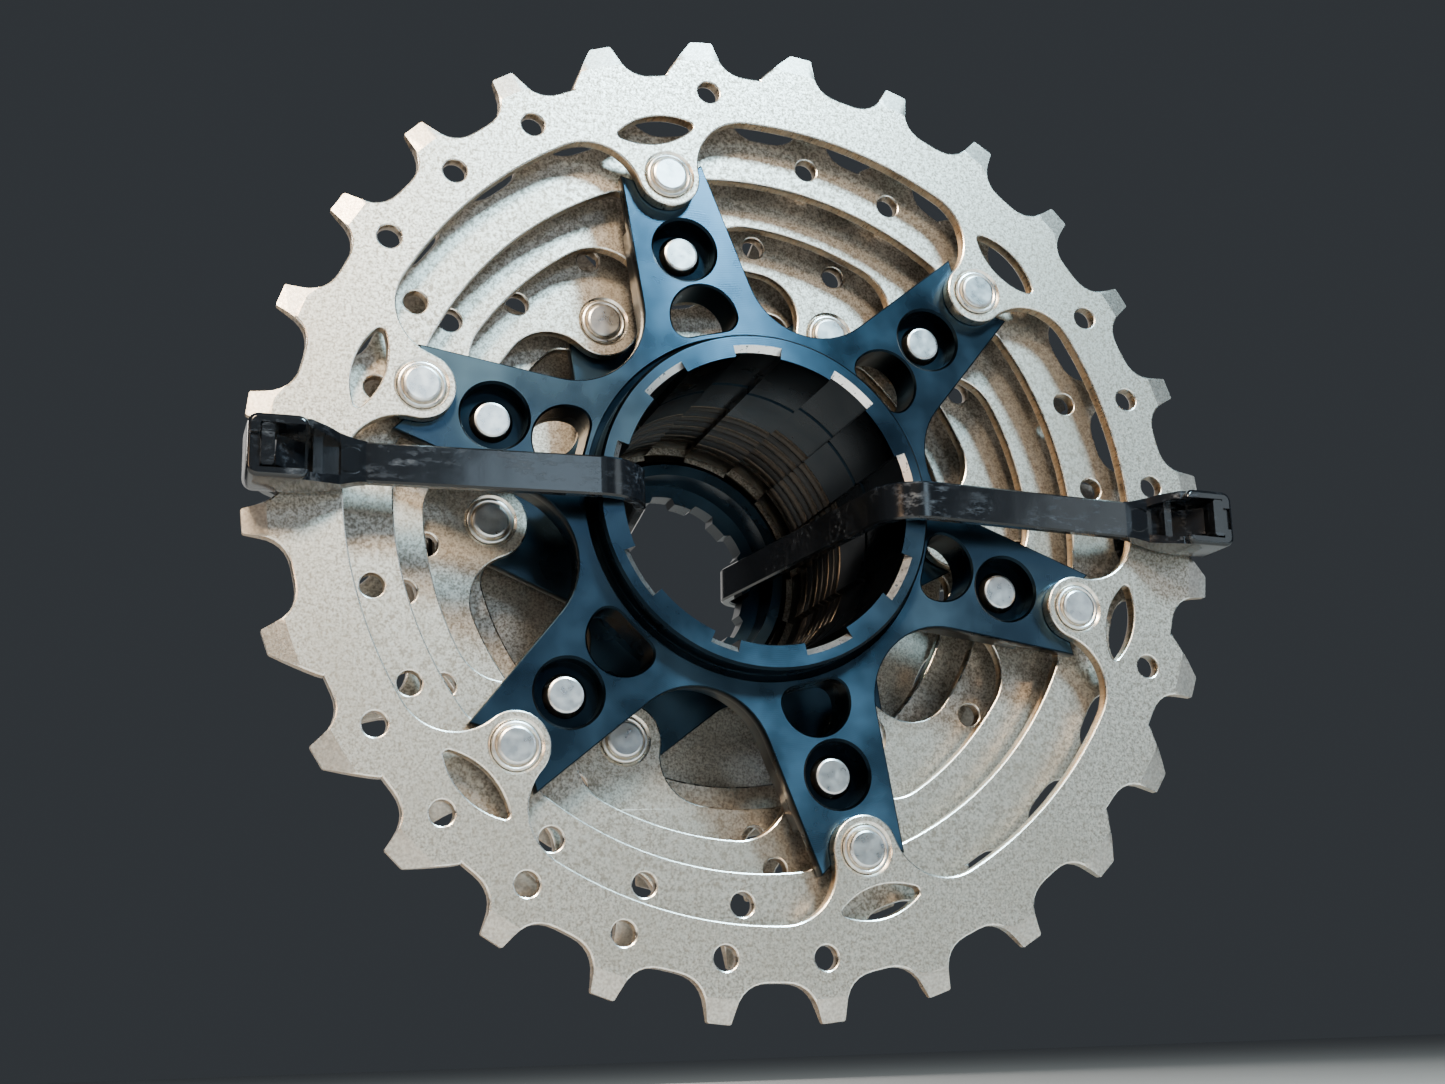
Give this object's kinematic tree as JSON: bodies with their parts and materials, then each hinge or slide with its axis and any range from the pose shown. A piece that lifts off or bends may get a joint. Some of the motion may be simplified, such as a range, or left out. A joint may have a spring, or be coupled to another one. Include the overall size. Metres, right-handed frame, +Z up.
{
  "type": "bicycle cassette sprocket",
  "caption": "Stepped cone of toothed bicycle sprockets on riveted dark carriers with a splined bore and lockring, bundled with two black cable ties.",
  "frame": {"origin": "on the bore's axis, in the plane of the largest sprocket's outer face", "axes": "+Y along the axle from the largest sprocket to the lockring; +Z up; +X to the right when looking at the large end"},
  "size_m": [0.114, 0.0503, 0.1138],
  "materials": {
    "sprocket_steel": "satin nickel plate with a faint champagne tint",
    "rivet_steel": "bright",
    "anodised_carrier": "blue-black anodised, with fine turning marks",
    "spacer_plastic": "moulded",
    "lockring_alloy": "black anodised",
    "washer_steel": "plain",
    "tie_nylon": "moulded nylon with light scuffs"
  },
  "bodies": {
    "large_cluster": {"large_spider": "anodised_carrier", "sprocket_28t": "sprocket_steel", "sprocket_25t": "sprocket_steel", "sprocket_23t": "sprocket_steel", "outer_rivet_1": "rivet_steel", "outer_rivet_2": "rivet_steel", "outer_rivet_3": "rivet_steel", "outer_rivet_4": "rivet_steel", "outer_rivet_5": "rivet_steel", "outer_rivet_6": "rivet_steel", "inner_rivet_1": "rivet_steel", "inner_rivet_2": "rivet_steel", "inner_rivet_3": "rivet_steel", "inner_rivet_4": "rivet_steel", "inner_rivet_5": "rivet_steel", "inner_rivet_6": "rivet_steel", "cable_tie_left": "tie_nylon", "cable_tie_right": "tie_nylon"},
    "small_cluster": {"small_spider": "anodised_carrier", "sprocket_21t": "sprocket_steel", "sprocket_19t": "sprocket_steel", "small_rivet_1": "rivet_steel", "small_rivet_2": "rivet_steel", "small_rivet_3": "rivet_steel", "small_rivet_4": "rivet_steel", "small_rivet_5": "rivet_steel", "small_rivet_6": "rivet_steel"},
    "sprocket_17": {"sprocket_17t": "sprocket_steel"},
    "spacer_a": {"spacer_17_15": "spacer_plastic"},
    "sprocket_15": {"sprocket_15t": "sprocket_steel"},
    "spacer_b": {"spacer_15_14": "spacer_plastic"},
    "sprocket_14": {"sprocket_14t": "sprocket_steel"},
    "spacer_c": {"spacer_14_13": "spacer_plastic"},
    "sprocket_13": {"sprocket_13t": "sprocket_steel"},
    "sprocket_12": {"sprocket_12t": "sprocket_steel"},
    "sprocket_11": {"sprocket_11t": "sprocket_steel"},
    "washer": {"lockring_washer": "washer_steel"},
    "locking_ring": {"lockring": "lockring_alloy"}
  },
  "joints": [
    {"name": "small_cluster_turn", "type": "hinge", "parent": "large_cluster", "child": "small_cluster", "pos_m": [0, 0, 0], "axis": [0, 1, 0], "continuous": true},
    {"name": "sprocket_17_turn", "type": "hinge", "parent": "large_cluster", "child": "sprocket_17", "pos_m": [0, 0, 0], "axis": [0, 1, 0], "continuous": true},
    {"name": "spacer_a_turn", "type": "hinge", "parent": "large_cluster", "child": "spacer_a", "pos_m": [0, 0, 0], "axis": [0, 1, 0], "continuous": true},
    {"name": "sprocket_15_turn", "type": "hinge", "parent": "large_cluster", "child": "sprocket_15", "pos_m": [0, 0, 0], "axis": [0, 1, 0], "continuous": true},
    {"name": "spacer_b_turn", "type": "hinge", "parent": "large_cluster", "child": "spacer_b", "pos_m": [0, 0, 0], "axis": [0, 1, 0], "continuous": true},
    {"name": "sprocket_14_turn", "type": "hinge", "parent": "large_cluster", "child": "sprocket_14", "pos_m": [0, 0, 0], "axis": [0, 1, 0], "continuous": true},
    {"name": "spacer_c_turn", "type": "hinge", "parent": "large_cluster", "child": "spacer_c", "pos_m": [0, 0, 0], "axis": [0, 1, 0], "continuous": true},
    {"name": "sprocket_13_turn", "type": "hinge", "parent": "large_cluster", "child": "sprocket_13", "pos_m": [0, 0, 0], "axis": [0, 1, 0], "continuous": true},
    {"name": "sprocket_12_turn", "type": "hinge", "parent": "large_cluster", "child": "sprocket_12", "pos_m": [0, 0, 0], "axis": [0, 1, 0], "continuous": true},
    {"name": "sprocket_11_turn", "type": "hinge", "parent": "large_cluster", "child": "sprocket_11", "pos_m": [0, 0, 0], "axis": [0, 1, 0], "continuous": true},
    {"name": "washer_turn", "type": "hinge", "parent": "large_cluster", "child": "washer", "pos_m": [0, 0, 0], "axis": [0, 1, 0], "continuous": true},
    {"name": "locking_ring_turn", "type": "hinge", "parent": "large_cluster", "child": "locking_ring", "pos_m": [0, 0, 0], "axis": [0, 1, 0], "continuous": true}
  ]
}
